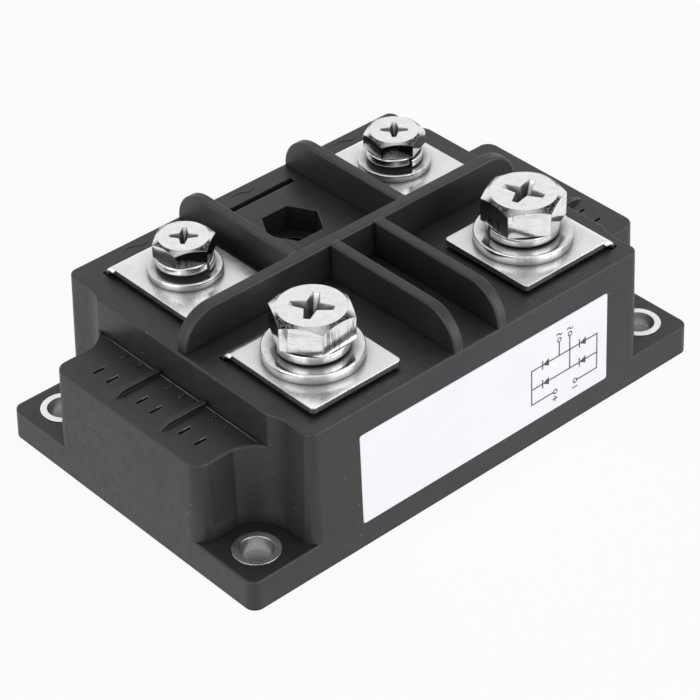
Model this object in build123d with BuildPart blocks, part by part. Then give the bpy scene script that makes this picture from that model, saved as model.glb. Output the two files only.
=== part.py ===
"""Bridge rectifier module with four screw terminals, in millimetres.

X runs along the module, the label faces -Y, Z points up.
The origin is the middle of the underside of the base plate.
"""

import os
from math import cos, radians, sin, sqrt, tan

from build123d import *

os.makedirs("parts", exist_ok=True)

# Housing, sizes at the lower rim before the draft
draft = 1.88
rim_height = 0.05
flange_length = 105.0
flange_width = 65.7
flange_top = 5.9
flange_corner = 2.0
block_inset = 12.2
block_top = 28.5
tower_corner = 2.5
pocket_blend = 1.6
shelf_width = 39.6
shelf_top = 21.85
shelf_corner = 3.0
edge_round = 0.4
join_depth = 2.1

# Mounting holes and the round pockets that give the screw heads room
hole_inset_x = 6.7
hole_inset_y = 6.75
hole_diameter = 6.0
bushing_diameter = 8.4
bushing_proud = 0.1
pocket_radius = 6.5

# Walls between the terminals
wall_top = 35.5
wall_thickness = 2.2
wall_round = 0.5
front_wall_x = 5.1
front_wall_inset = 0.95
front_wall_end_radius = 7.0
rear_wall_gap = 2.25
rear_wall_inset = 1.25
rear_wall_end_radius = 6.5
spine_y = 0.2
spine_thickness = 2.5
spine_inset = 1.6
spine_end_radius = 6.5

# Low ribs and blind slots on the end shelves
rib_y_front = -6.8
rib_y_rear = 5.3
rib_thickness = 1.0
rib_height = 0.9
rib_inset = 2.3
rib_slope_length = 2.4
mark_slot_inset = 5.8
mark_slot_length = 2.5
mark_slot_width = 0.6
mark_slot_depth = 0.8
mark_slot_rows = (12.9, 9.4, 1.4, -2.2, -9.8, -13.8)

# Base plate and the hollow above it
plate_inset_x = 2.2
plate_inset_y = 2.05
plate_thickness = 3.0
plate_corner = 3.0
plate_clearance = 0.15
end_wall_thickness = 3.3
side_wall_thickness = 3.25
roof_thickness = 2.5
hollow_corner = 2.0
shelf_end_thickness = 3.3
shelf_side_thickness = 2.8
shelf_roof_thickness = 2.05

# Screw bosses under the roof
front_bolt_inset_x = 15.8
front_bolt_inset_y = 15.75
rear_bolt_inset_x = 15.7
rear_bolt_inset_y = 16.85
spare_boss_inset_y = 16.65
m8_boss_radius = 9.2
m8_boss_depth = 13.5
m8_pocket_flats = 13.2
m8_pocket_depth = 6.8
m8_bore_diameter = 8.5
m8_bore_depth = 11.5
m6_boss_radius = 7.6
m6_boss_depth = 12.1
m6_pocket_flats = 10.1
m6_pocket_depth = 5.3
m6_bore_diameter = 6.5
m6_bore_depth = 10.1

# Terminal strips
strip_thickness = 1.1
strip_bend = 1.2
strip_gap = 0.7
strip_corner = 0.8
plus_offset_x = -0.4
plus_width = 19.6
plus_front_inset = 4.35
plus_riser_gap = 1.8
minus_left_reach = 10.2
minus_riser_inset = 4.7
minus_offset_y = -0.9
minus_width = 20.3
ac_offset_x = 0.1
ac_width = 17.5
ac_front_gap = 4.3
ac_riser_inset = 6.15
foot_length = 6.0
slot_width = 1.75
slot_extra_length = 0.6
spare_slot_inset = 5.95
spare_slot_clearance = 1.9
spare_slot_width = 1.4

# Bolts, washers and nuts
m8_diameter = 8.0
m8_head_flats = 13.1
m8_head_height = 5.3
m8_length = 16.0
m8_head_top_radius = 6.0
m8_cross_length = 7.6
m8_cross_tip_width = 1.1
m8_cross_waist = 2.2
m8_cross_floor_length = 3.0
m8_cross_depth = 3.0
m8_nut_flats = 13.0
m8_nut_height = 6.5
m8_flat_outer = 17.6
m8_flat_inner = 8.4
m8_flat_thickness = 1.9
m8_spring_outer = 12.9
m8_spring_inner = 8.2
m8_spring_thickness = 1.9
m8_spring_rise = 0.6
m6_diameter = 6.0
m6_head_flats = 9.8
m6_head_height = 3.2
m6_length = 14.0
m6_head_top_radius = 4.5
m6_cross_length = 5.0
m6_cross_tip_width = 0.7
m6_cross_waist = 1.5
m6_cross_floor_length = 2.0
m6_cross_depth = 2.2
m6_nut_flats = 9.9
m6_nut_height = 5.0
m6_flat_outer = 13.2
m6_flat_inner = 6.4
m6_flat_thickness = 1.4
m6_spring_outer = 10.4
m6_spring_inner = 6.2
m6_spring_thickness = 1.7
m6_spring_rise = 0.9
spring_slit_angle = 8.0
washer_round = 0.3
spring_round = 0.4
strip_hole_clearance = 0.6
chamfer_angle = 30.0

# Turn of each hexagon and each cross recess about the bolt axis, and of each spring washer's slit
plus_turn = (2.2, -54.0)
minus_turn = (23.7, -69.0)
ac_1_turn = (35.3, -43.0)
ac_2_turn = (23.5, -43.0)
plus_slit_turn = 162.0
minus_slit_turn = 162.0
ac_1_slit_turn = -74.0
ac_2_slit_turn = -94.0

# Label
label_x_left = -28.0
label_x_right = 30.4
label_z_bottom = 5.0
label_z_top = 23.2
label_thickness = 0.12
label_corner = 0.5

# Circuit inside
ceramic_clearance_x = 0.7
ceramic_clearance_y = 1.1
ceramic_thickness = 1.0
pad_thickness = 0.4
pad_plus_inset = 0.8
pad_split_inset = 22.8
pad_gap = 2.5
pad_minus_inset = 0.1
pad_front_inset = 0.2
pad_front_end = -3.0
pad_rear_start = 0.5
pad_rear_inset = 0.9
pad_ac_inner = 1.0
pad_ac_inset = 0.8
chip_side = 12.0
chip_thickness = 0.4
disc_diameter = 11.0
disc_thickness = 1.5
plus_diode_x = 7.4
plus_diode_y = -12.0
ac_diode_1_x = -20.0
ac_diode_2_x = 24.0
ac_diode_y = 10.0
strap_width = 5.6
strap_thickness = 0.8
strap_bend = 0.4
strap_knee = 1.2
ac_strap_end = 5.4
minus_strap_end = -8.0
compound_gap = 1.5

# Places and heights that follow from the sizes above
slope = tan(radians(draft))
half_length = flange_length / 2
half_width = flange_width / 2
half_block = half_length - block_inset
block_length = 2 * half_block
plate_length = flange_length - 2 * plate_inset_x
plate_width = flange_width - 2 * plate_inset_y
hollow_length = block_length - 2 * end_wall_thickness
hollow_width = flange_width - 2 * side_wall_thickness
hollow_top = block_top - roof_thickness
shelf_hollow_length = flange_length - 2 * shelf_end_thickness
shelf_hollow_width = shelf_width - 2 * shelf_side_thickness
shelf_hollow_top = shelf_top - shelf_roof_thickness
hole_x = half_length - hole_inset_x
hole_y = half_width - hole_inset_y
pocket_to_shelf = hole_y - shelf_width / 2
shelf_side_start = hole_x - sqrt(max(pocket_radius**2 - pocket_to_shelf**2, 0))
hole_spots = [(hole_x, hole_y), (-hole_x, hole_y), (-hole_x, -hole_y), (hole_x, -hole_y)]
front_wall_reach = half_width - front_wall_inset
rear_wall_reach = half_width - rear_wall_inset
spine_reach = half_block - spine_inset
wall_bottom = block_top - join_depth
rib_reach = half_length - rib_inset
mark_slot_x = half_length - mark_slot_inset
front_bolt_x = half_block - front_bolt_inset_x
front_bolt_y = front_bolt_inset_y - half_width
rear_bolt_x = half_block - rear_bolt_inset_x
rear_bolt_y = half_width - rear_bolt_inset_y
plus_spot = (-front_bolt_x, front_bolt_y)
minus_spot = (front_bolt_x, front_bolt_y)
ac_1_spot = (-rear_bolt_x, rear_bolt_y)
ac_2_spot = (rear_bolt_x, rear_bolt_y)
spare_spot = (0, half_width - spare_boss_inset_y)
m8_boss_bottom = block_top - m8_boss_depth
m8_bore_bottom = block_top - m8_bore_depth
m6_boss_bottom = block_top - m6_boss_depth
m6_bore_bottom = block_top - m6_bore_depth
strip_bottom = block_top + strip_gap
strip_top = strip_bottom + strip_thickness
strip_bend_middle = strip_bend + strip_thickness / 2
plus_x = plus_offset_x - front_bolt_x
plus_front = plus_front_inset - half_width
plus_riser_y = front_bolt_y + m8_boss_radius + plus_riser_gap
minus_left = front_bolt_x - minus_left_reach
minus_riser_x = half_block - minus_riser_inset
minus_y = front_bolt_y + minus_offset_y
ac_x = rear_bolt_x + ac_offset_x
rear_wall_x = ac_x - ac_width / 2 - rear_wall_gap - wall_thickness / 2
spare_slot_length = 2 * (rear_wall_x - wall_thickness / 2 - spare_slot_clearance)
ac_front = spine_y + ac_front_gap
ac_riser_y = half_width - ac_riser_inset
spare_slot_y = half_width - spare_slot_inset
m8_head_bottom = strip_top + m8_flat_thickness + m8_spring_thickness + m8_spring_rise
m6_head_bottom = strip_top + m6_flat_thickness + m6_spring_thickness + m6_spring_rise
ceramic_length = hollow_length - 2 * ceramic_clearance_x
ceramic_width = hollow_width - 2 * ceramic_clearance_y
ceramic_top = plate_thickness + ceramic_thickness
pad_top = ceramic_top + pad_thickness
pad_plus_left = pad_plus_inset - ceramic_length / 2
pad_plus_right = ceramic_length / 2 - pad_split_inset
pad_minus_left = pad_plus_right + pad_gap
pad_minus_right = ceramic_length / 2 - pad_minus_inset
pad_front = pad_front_inset - ceramic_width / 2
pad_rear_end = ceramic_width / 2 - pad_rear_inset
pad_ac_outer = ceramic_length / 2 - pad_ac_inset
chip_top = pad_top + chip_thickness
disc_top = chip_top + disc_thickness
compound_top = hollow_top - compound_gap


def side(value):
    return 1 if value > 0 else -1


def cut_pockets():
    """Cut the four round corner pockets, open to front and rear, from the current sketch."""
    for x, y in hole_spots:
        with Locations((x, y)):
            Circle(pocket_radius, mode=Mode.SUBTRACT)
        with Locations((x, y + side(y) * flange_width / 2)):
            Rectangle(2 * pocket_radius, flange_width, mode=Mode.SUBTRACT)


def wall(x, reach, direction, end_radius):
    """Add a wall that runs from the spine to the front or rear, with a rounded end."""
    with BuildSketch(Plane.YZ.offset(x - wall_thickness / 2)) as outline:
        with BuildLine():
            Polyline(
                (direction * (reach - end_radius), wall_top),
                (spine_y, wall_top),
                (spine_y, wall_bottom),
                (direction * reach, wall_bottom),
                (direction * reach, wall_top - end_radius),
            )
            CenterArc(
                (direction * (reach - end_radius), wall_top - end_radius),
                end_radius,
                0 if direction > 0 else 90,
                90,
            )
        make_face()
    extrude(outline.sketch, amount=wall_thickness)


def boss(spot, radius, bottom):
    """Add a round boss that hangs from the roof."""
    with BuildSketch(Plane.XY.offset(bottom)) as outline:
        with Locations(spot):
            Circle(radius)
    extrude(outline.sketch, amount=hollow_top - bottom + edge_round)


def nut_pocket(spot, flats, depth, bore_diameter, bore_bottom, turn):
    """Cut a hexagonal nut pocket with a blind bore under it."""
    with BuildSketch(Plane.XY.offset(block_top - depth)) as outline:
        with Locations(spot):
            RegularPolygon(flats / 2, 6, major_radius=False, rotation=turn)
    extrude(outline.sketch, amount=depth, mode=Mode.SUBTRACT)
    with BuildSketch(Plane.XY.offset(bore_bottom)) as bore:
        with Locations(spot):
            Circle(bore_diameter / 2)
    extrude(bore.sketch, amount=block_top - depth - bore_bottom, mode=Mode.SUBTRACT)


def roof_slot(x, y, length_x, length_y):
    """Cut an upright slot through the roof."""
    with BuildSketch(Plane.XY.offset(hollow_top)) as outline:
        with Locations((x, y)):
            Rectangle(length_x, length_y)
    extrude(outline.sketch, amount=block_top - hollow_top, mode=Mode.SUBTRACT)


# Drafted outer blocks of the housing
with BuildPart() as flange:
    with BuildSketch(Plane.XY.offset(rim_height)):
        RectangleRounded(flange_length, flange_width, flange_corner)
    extrude(amount=flange_top - rim_height, taper=draft)
    fillet(flange.edges().group_by(Axis.Z)[-1], edge_round)

with BuildPart() as block:
    with BuildSketch(Plane.XY.offset(rim_height)) as block_outline:
        Rectangle(block_length, flange_width)
        cut_pockets()
        outer = block_outline.vertices().filter_by(lambda v: abs(v.Y) > hole_y + 1)
        fillet(outer, tower_corner)
        inner = block_outline.vertices().filter_by(
            lambda v: abs(abs(v.X) - block_length / 2) < 0.01 and abs(v.Y) < hole_y
        )
        fillet(inner, pocket_blend)
    extrude(amount=block_top - rim_height, taper=draft)
    fillet(block.edges().group_by(Axis.Z)[-1], edge_round)

with BuildPart() as shelf:
    with BuildSketch(Plane.XY.offset(rim_height)) as shelf_outline:
        Rectangle(flange_length, shelf_width)
        # The corner between shelf and block is filled out to the round of the screw pocket
        Rectangle(2 * hole_x, 2 * hole_y)
        cut_pockets()
        end_length = flange_length / 2 - shelf_side_start
        with Locations(
            (shelf_side_start + end_length / 2, 0), (-shelf_side_start - end_length / 2, 0)
        ):
            Rectangle(end_length, shelf_width)
        ends = shelf_outline.vertices().filter_by(
            lambda v: abs(v.X) > flange_length / 2 - 0.01
        )
        fillet(ends, shelf_corner)
    extrude(amount=shelf_top - rim_height, taper=draft)
    fillet(shelf.edges().group_by(Axis.Z)[-1], edge_round)

# Walls between the terminals
with BuildPart() as walls:
    for x in (-front_wall_x, front_wall_x):
        wall(x, front_wall_reach, -1, front_wall_end_radius)
    for x in (-rear_wall_x, rear_wall_x):
        wall(x, rear_wall_reach, 1, rear_wall_end_radius)
    flat_end = spine_reach - spine_end_radius
    round_start = wall_top - spine_end_radius
    with BuildSketch(Plane.XZ.offset(-spine_y - spine_thickness / 2)):
        with BuildLine():
            Line((-flat_end, wall_top), (flat_end, wall_top))
            CenterArc((flat_end, round_start), spine_end_radius, 0, 90)
            Polyline(
                (spine_reach, round_start),
                (spine_reach, wall_bottom),
                (-spine_reach, wall_bottom),
                (-spine_reach, round_start),
            )
            CenterArc((-flat_end, round_start), spine_end_radius, 90, 90)
        make_face()
    extrude(amount=spine_thickness)
    tops = walls.edges().filter_by(lambda e: e.center().Z > block_top + 1)
    fillet(tops.filter_by(lambda e: abs(e.tangent_at(0.5).Z) < 0.99), wall_round)


def keep_between(bottom, top):
    """Keep only what lies between two heights."""
    with BuildSketch(Plane.XY.offset(bottom)) as outline:
        Rectangle(2 * flange_length, 2 * flange_width)
    extrude(outline.sketch, amount=top - bottom, mode=Mode.INTERSECT)


def cut_hollow():
    """Cut the hollow for the circuit, which reaches into both end shelves."""
    with BuildSketch(Plane.XY.offset(plate_thickness)) as middle:
        RectangleRounded(hollow_length, hollow_width, hollow_corner)
    extrude(middle.sketch, amount=hollow_top - plate_thickness, mode=Mode.SUBTRACT)
    with BuildSketch(Plane.XY.offset(plate_thickness)) as ends:
        Rectangle(shelf_hollow_length, shelf_hollow_width)
    extrude(ends.sketch, amount=shelf_hollow_top - plate_thickness, mode=Mode.SUBTRACT)


# The moulding, in simple pieces that meet where its surfaces fold
with BuildPart() as housing_flange:
    add(flange.part)
    add(block.part)
    add(shelf.part)
    keep_between(0, flange_top)
    cut_hollow()
    # Recess for the base plate
    with BuildSketch(Plane.XY.offset(rim_height)):
        RectangleRounded(
            plate_length + 2 * plate_clearance, plate_width + 2 * plate_clearance, plate_corner
        )
    extrude(amount=plate_thickness - rim_height, mode=Mode.SUBTRACT)
    # Seats of the bushings
    with BuildSketch(Plane.XY.offset(plate_thickness)):
        with Locations(*hole_spots):
            Circle(bushing_diameter / 2)
    extrude(amount=flange_top - plate_thickness, mode=Mode.SUBTRACT)

with BuildPart() as housing:
    add(block.part)
    keep_between(flange_top, block_top)
    cut_hollow()
    # Bosses with nut pockets and bores for the bolt ends
    for spot in (plus_spot, minus_spot):
        boss(spot, m8_boss_radius, m8_boss_bottom)
    for spot in (ac_1_spot, ac_2_spot, spare_spot):
        boss(spot, m6_boss_radius, m6_boss_bottom)
    for spot in (plus_spot, minus_spot):
        nut_pocket(spot, m8_pocket_flats, m8_pocket_depth, m8_bore_diameter, m8_bore_bottom, 0)
    for spot in (ac_1_spot, ac_2_spot, spare_spot):
        nut_pocket(spot, m6_pocket_flats, m6_pocket_depth, m6_bore_diameter, m6_bore_bottom, 0)
    # Slots for the terminal strips and the one that stays empty
    roof_slot(plus_x, plus_riser_y, plus_width + 2 * slot_extra_length, slot_width)
    roof_slot(minus_riser_x, minus_y, slot_width, minus_width + 2 * slot_extra_length)
    roof_slot(-ac_x, ac_riser_y, ac_width + 2 * slot_extra_length, slot_width)
    roof_slot(ac_x, ac_riser_y, ac_width + 2 * slot_extra_length, slot_width)
    roof_slot(0, spare_slot_y, spare_slot_length, spare_slot_width)


def make_shelf(direction):
    """The end of the housing on one side, with its low ribs and blind slots."""
    with BuildPart() as end:
        add(shelf.part)
        keep_between(flange_top, shelf_top)
        for rib_y in (rib_y_front, rib_y_rear):
            with BuildSketch(Plane.XZ.offset(-rib_y - rib_thickness / 2)) as rib:
                with BuildLine():
                    Polyline(
                        (0, shelf_top - shelf_roof_thickness / 2),
                        (direction * rib_reach, shelf_top - shelf_roof_thickness / 2),
                        (direction * rib_reach, shelf_top),
                        (direction * (rib_reach - rib_slope_length), shelf_top + rib_height),
                        (0, shelf_top + rib_height),
                        close=True,
                    )
                make_face()
            extrude(rib.sketch, amount=rib_thickness)
        cut_hollow()
        with BuildSketch(Plane.XY.offset(shelf_top - mark_slot_depth)) as marks:
            for row in mark_slot_rows:
                with Locations((direction * mark_slot_x, row)):
                    Rectangle(mark_slot_length, mark_slot_width)
        extrude(marks.sketch, amount=mark_slot_depth, mode=Mode.SUBTRACT)
        add(block.part, mode=Mode.SUBTRACT)
        with BuildSketch(Plane.XY) as half:
            with Locations((direction * flange_length, 0)):
                Rectangle(2 * flange_length, 2 * flange_width)
        extrude(half.sketch, amount=block_top, mode=Mode.INTERSECT)
    return end


shelf_left = make_shelf(-1)
shelf_right = make_shelf(1)


def wall_piece(x_start, x_end, y_start, y_end):
    """One straight wall out of the cross of walls, down to the roof it stands on."""
    with BuildPart() as piece:
        add(walls.part)
        with BuildSketch(Plane.XY.offset(wall_bottom)) as outline:
            with Locations(((x_start + x_end) / 2, (y_start + y_end) / 2)):
                Rectangle(x_end - x_start, y_end - y_start)
        extrude(outline.sketch, amount=wall_top - wall_bottom, mode=Mode.INTERSECT)
        add(block.part, mode=Mode.SUBTRACT)
    return piece


spine_front = spine_y - spine_thickness / 2
spine_rear = spine_y + spine_thickness / 2
spine = wall_piece(-half_block, half_block, spine_front, spine_rear)
wall_front_left = wall_piece(-half_block, 0, -half_width, spine_front)
wall_front_right = wall_piece(0, half_block, -half_width, spine_front)
wall_rear_left = wall_piece(-half_block, 0, spine_rear, half_width)
wall_rear_right = wall_piece(0, half_block, spine_rear, half_width)


# Metal parts of the mounting
with BuildPart() as base_plate:
    with BuildSketch():
        RectangleRounded(plate_length, plate_width, plate_corner)
        with Locations(*hole_spots):
            Circle(hole_diameter / 2, mode=Mode.SUBTRACT)
    extrude(amount=plate_thickness)


def make_bushing(spot):
    with BuildPart() as bushing:
        with BuildSketch(Plane.XY.offset(plate_thickness)):
            with Locations(spot):
                Circle(bushing_diameter / 2)
                Circle(hole_diameter / 2, mode=Mode.SUBTRACT)
        extrude(amount=flange_top + bushing_proud - plate_thickness)
    return bushing


bushing_1 = make_bushing(hole_spots[0])
bushing_2 = make_bushing(hole_spots[1])
bushing_3 = make_bushing(hole_spots[2])
bushing_4 = make_bushing(hole_spots[3])


# Terminal strips: plate, bend, upright part through the roof, and foot on the pad
plate_level = strip_bottom + strip_thickness / 2
foot_level = pad_top + strip_thickness / 2


def strip(plane, start, riser, foot_end, width):
    """Add a folded strip whose path lies in the plane."""
    with BuildSketch(plane) as outline:
        with BuildLine():
            FilletPolyline(
                (start, plate_level),
                (riser, plate_level),
                (riser, foot_level),
                (foot_end, foot_level),
                radius=strip_bend_middle,
            )
        trace(line_width=strip_thickness)
    extrude(outline.sketch, amount=width / 2, both=True)


def bolt_hole(spot, diameter):
    """Cut the hole for the bolt through the plate."""
    with BuildSketch(Plane.XY.offset(strip_bottom)) as outline:
        with Locations(spot):
            Circle(diameter / 2 + strip_hole_clearance / 2)
    extrude(outline.sketch, amount=strip_thickness, mode=Mode.SUBTRACT)


with BuildPart() as terminal_plus:
    strip(Plane.YZ.offset(plus_x), plus_front, plus_riser_y, plus_riser_y - foot_length, plus_width)
    bolt_hole(plus_spot, m8_diameter)
    upright = terminal_plus.edges().filter_by(Axis.Z).group_by(Axis.Y)[0]
    fillet(upright, strip_corner)

with BuildPart() as terminal_minus:
    strip(
        Plane.XZ.offset(-minus_y), minus_left, minus_riser_x, minus_riser_x - foot_length, minus_width
    )
    bolt_hole(minus_spot, m8_diameter)
    upright = terminal_minus.edges().filter_by(Axis.Z).group_by(Axis.X)[0]
    fillet(upright, strip_corner)

with BuildPart() as terminal_ac_1:
    strip(Plane.YZ.offset(-ac_x), ac_front, ac_riser_y, ac_riser_y - foot_length, ac_width)
    bolt_hole(ac_1_spot, m6_diameter)
    upright = terminal_ac_1.edges().filter_by(Axis.Z).group_by(Axis.Y)[0]
    fillet(upright, strip_corner)

with BuildPart() as terminal_ac_2:
    strip(Plane.YZ.offset(ac_x), ac_front, ac_riser_y, ac_riser_y - foot_length, ac_width)
    bolt_hole(ac_2_spot, m6_diameter)
    upright = terminal_ac_2.edges().filter_by(Axis.Z).group_by(Axis.Y)[0]
    fillet(upright, strip_corner)


# Bolts with hexagon head, chamfered top and cross recess
def star(length, tip_width, waist, turn):
    """Draw the four-pointed outline of the cross recess."""
    corners = []
    for quarter in range(4):
        angle = radians(turn + 90 * quarter)
        along = Vector(cos(angle), sin(angle))
        across = Vector(-sin(angle), cos(angle))
        corners.append(along * (length / 2) - across * (tip_width / 2))
        corners.append(along * (length / 2) + across * (tip_width / 2))
        corners.append((along + across) * (waist / 2))
    Polygon(*corners, align=None)


def make_bolt(spot, turn, sizes):
    diameter, flats, height, length, top_radius, cross, bottom = sizes
    cross_length, cross_tip_width, cross_waist, cross_floor_length, cross_depth = cross
    x, y = spot
    top = bottom + height
    corner_radius = flats / 2 / cos(radians(chamfer_angle))
    drop = (corner_radius - top_radius) * tan(radians(chamfer_angle))
    with BuildPart() as bolt:
        with BuildSketch(Plane.XY.offset(bottom)):
            with Locations(spot):
                RegularPolygon(flats / 2, 6, major_radius=False, rotation=turn[0])
        extrude(amount=height)
        with BuildSketch(Plane.XZ.offset(-y)):
            Polygon(
                (x, bottom),
                (x + corner_radius, bottom),
                (x + corner_radius, top - drop),
                (x + top_radius, top),
                (x, top),
                align=None,
            )
        revolve(axis=Axis((x, y, 0), (0, 0, 1)), mode=Mode.INTERSECT)
        with BuildSketch(Plane.XY.offset(bottom)):
            with Locations(spot):
                Circle(diameter / 2)
        extrude(amount=-length)
        chamfer(bolt.edges().group_by(Axis.Z)[0], diameter / 10)
        narrowing = cross_floor_length / cross_length
        with BuildSketch(Plane((x, y, top))):
            star(cross_length, cross_tip_width, cross_waist, turn[1])
        with BuildSketch(Plane((x, y, top - cross_depth))):
            star(cross_floor_length, cross_tip_width * narrowing, cross_waist * narrowing, turn[1])
        loft(ruled=True, mode=Mode.SUBTRACT)
    return bolt


m8_cross = (
    m8_cross_length, m8_cross_tip_width, m8_cross_waist, m8_cross_floor_length, m8_cross_depth,
)
m8_bolt = (
    m8_diameter, m8_head_flats, m8_head_height, m8_length, m8_head_top_radius, m8_cross,
    m8_head_bottom,
)
m6_cross = (
    m6_cross_length, m6_cross_tip_width, m6_cross_waist, m6_cross_floor_length, m6_cross_depth,
)
m6_bolt = (
    m6_diameter, m6_head_flats, m6_head_height, m6_length, m6_head_top_radius, m6_cross,
    m6_head_bottom,
)
bolt_plus = make_bolt(plus_spot, plus_turn, m8_bolt)
bolt_minus = make_bolt(minus_spot, minus_turn, m8_bolt)
bolt_ac_1 = make_bolt(ac_1_spot, ac_1_turn, m6_bolt)
bolt_ac_2 = make_bolt(ac_2_spot, ac_2_turn, m6_bolt)


# Washers and nuts
def make_flat_washer(spot, outer, inner, thickness):
    with BuildPart() as washer:
        with BuildSketch(Plane.XY.offset(strip_top)):
            with Locations(spot):
                Circle(outer / 2)
                Circle(inner / 2, mode=Mode.SUBTRACT)
        extrude(amount=thickness)
        rims = washer.edges().group_by(Axis.Z)[-1].filter_by(lambda e: e.radius > outer / 2 - 0.1)
        fillet(rims, washer_round)
    return washer


def make_spring_washer(spot, outer, inner, thickness, rise, bottom, turn):
    """Coil the washer round the origin, then set it on the flat washer."""
    with BuildPart() as washer:
        with BuildLine(Plane.XY.offset(thickness / 2)) as path:
            Helix(
                pitch=rise * 360 / (360 - spring_slit_angle),
                height=rise,
                radius=(outer + inner) / 4,
            )
        coil = path.wires()[0]
        with BuildSketch(Plane(coil @ 0, x_dir=(1, 0, 0), z_dir=coil % 0)):
            RectangleRounded((outer - inner) / 2, thickness, spring_round)
        sweep(path=coil, is_frenet=True)
    with BuildPart() as placed:
        with Locations(Location((*spot, bottom), turn)):
            add(washer.part)
    return placed


def make_nut(spot, flats, height, diameter):
    with BuildPart() as nut:
        with BuildSketch(Plane.XY.offset(strip_bottom - height)):
            with Locations(spot):
                RegularPolygon(flats / 2, 6, major_radius=False)
                Circle(diameter / 2, mode=Mode.SUBTRACT)
        extrude(amount=height)
    return nut


m8_flat = (m8_flat_outer, m8_flat_inner, m8_flat_thickness)
m6_flat = (m6_flat_outer, m6_flat_inner, m6_flat_thickness)
m8_spring = (
    m8_spring_outer, m8_spring_inner, m8_spring_thickness, m8_spring_rise,
    strip_top + m8_flat_thickness,
)
m6_spring = (
    m6_spring_outer, m6_spring_inner, m6_spring_thickness, m6_spring_rise,
    strip_top + m6_flat_thickness,
)
m8_nut = (m8_nut_flats, m8_nut_height, m8_diameter)
m6_nut = (m6_nut_flats, m6_nut_height, m6_diameter)
flat_washer_plus = make_flat_washer(plus_spot, *m8_flat)
flat_washer_minus = make_flat_washer(minus_spot, *m8_flat)
flat_washer_ac_1 = make_flat_washer(ac_1_spot, *m6_flat)
flat_washer_ac_2 = make_flat_washer(ac_2_spot, *m6_flat)
spring_washer_plus = make_spring_washer(plus_spot, *m8_spring, plus_slit_turn)
spring_washer_minus = make_spring_washer(minus_spot, *m8_spring, minus_slit_turn)
spring_washer_ac_1 = make_spring_washer(ac_1_spot, *m6_spring, ac_1_slit_turn)
spring_washer_ac_2 = make_spring_washer(ac_2_spot, *m6_spring, ac_2_slit_turn)
nut_plus = make_nut(plus_spot, *m8_nut)
nut_minus = make_nut(minus_spot, *m8_nut)
nut_ac_1 = make_nut(ac_1_spot, *m6_nut)
nut_ac_2 = make_nut(ac_2_spot, *m6_nut)


# Label on the drafted front face
label_middle_z = (label_z_bottom + label_z_top) / 2
label_plane = Plane(
    origin=(
        (label_x_left + label_x_right) / 2,
        -(half_width - slope * (label_middle_z - rim_height)),
        label_middle_z,
    ),
    x_dir=(1, 0, 0),
    z_dir=(0, -cos(radians(draft)), sin(radians(draft))),
)
with BuildPart() as label:
    with BuildSketch(label_plane):
        RectangleRounded(label_x_right - label_x_left, label_z_top - label_z_bottom, label_corner)
    extrude(amount=label_thickness)


# Ceramic tile with copper pads
with BuildPart() as ceramic:
    with BuildSketch(Plane.XY.offset(plate_thickness)):
        Rectangle(ceramic_length, ceramic_width)
    extrude(amount=ceramic_thickness)


def make_pad(left, right, front, rear):
    with BuildPart() as pad:
        with BuildSketch(Plane.XY.offset(ceramic_top)):
            with Locations(((left + right) / 2, (front + rear) / 2)):
                Rectangle(right - left, rear - front)
        extrude(amount=pad_thickness)
    return pad


pad_plus = make_pad(pad_plus_left, pad_plus_right, pad_front, pad_front_end)
pad_minus = make_pad(pad_minus_left, pad_minus_right, pad_front, pad_front_end)
pad_ac_1 = make_pad(-pad_ac_outer, -pad_ac_inner, pad_rear_start, pad_rear_end)
pad_ac_2 = make_pad(pad_ac_inner, pad_ac_outer, pad_rear_start, pad_rear_end)


# Diodes and the discs on top of them
def make_diode(spot):
    with BuildPart() as diode:
        with BuildSketch(Plane.XY.offset(pad_top)):
            with Locations(spot):
                Rectangle(chip_side, chip_side)
        extrude(amount=chip_thickness)
    return diode


def make_disc(spot):
    with BuildPart() as disc:
        with BuildSketch(Plane.XY.offset(chip_top)):
            with Locations(spot):
                Circle(disc_diameter / 2)
        extrude(amount=disc_thickness)
    return disc


diode_spots = [
    (-plus_diode_x, plus_diode_y),
    (plus_diode_x, plus_diode_y),
    (ac_diode_1_x, ac_diode_y),
    (ac_diode_2_x, ac_diode_y),
]
diode_1 = make_diode(diode_spots[0])
diode_2 = make_diode(diode_spots[1])
diode_3 = make_diode(diode_spots[2])
diode_4 = make_diode(diode_spots[3])
contact_disc_1 = make_disc(diode_spots[0])
contact_disc_2 = make_disc(diode_spots[1])
contact_disc_3 = make_disc(diode_spots[2])
contact_disc_4 = make_disc(diode_spots[3])


# Copper straps from the diodes to the pads
def strap(x, start, knee, end):
    """Add a strap along Y from a diode down to a pad."""
    upper = disc_top + strap_thickness / 2
    lower = pad_top + strap_thickness / 2
    with BuildSketch(Plane.YZ.offset(x)) as outline:
        with BuildLine():
            FilletPolyline(
                (start, upper),
                (knee, upper),
                (knee, lower),
                (end, lower),
                radius=strap_bend + strap_thickness / 2,
            )
        trace(line_width=strap_thickness)
    extrude(outline.sketch, amount=strap_width / 2, both=True)


with BuildPart() as strap_ac_1:
    strap(-plus_diode_x, plus_diode_y - strap_width / 2, pad_rear_start + strap_knee, ac_strap_end)

with BuildPart() as strap_ac_2:
    strap(plus_diode_x, plus_diode_y - strap_width / 2, pad_rear_start + strap_knee, ac_strap_end)

with BuildPart() as strap_minus:
    strap(ac_diode_2_x, ac_diode_y + strap_width / 2, pad_front_end - strap_knee, minus_strap_end)
    bar_left = ac_diode_1_x - strap_width / 2
    with BuildSketch(Plane.XY.offset(disc_top)):
        with Locations(((bar_left + ac_diode_2_x) / 2, ac_diode_y)):
            Rectangle(ac_diode_2_x - bar_left, strap_width)
    extrude(amount=strap_thickness)


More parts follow.
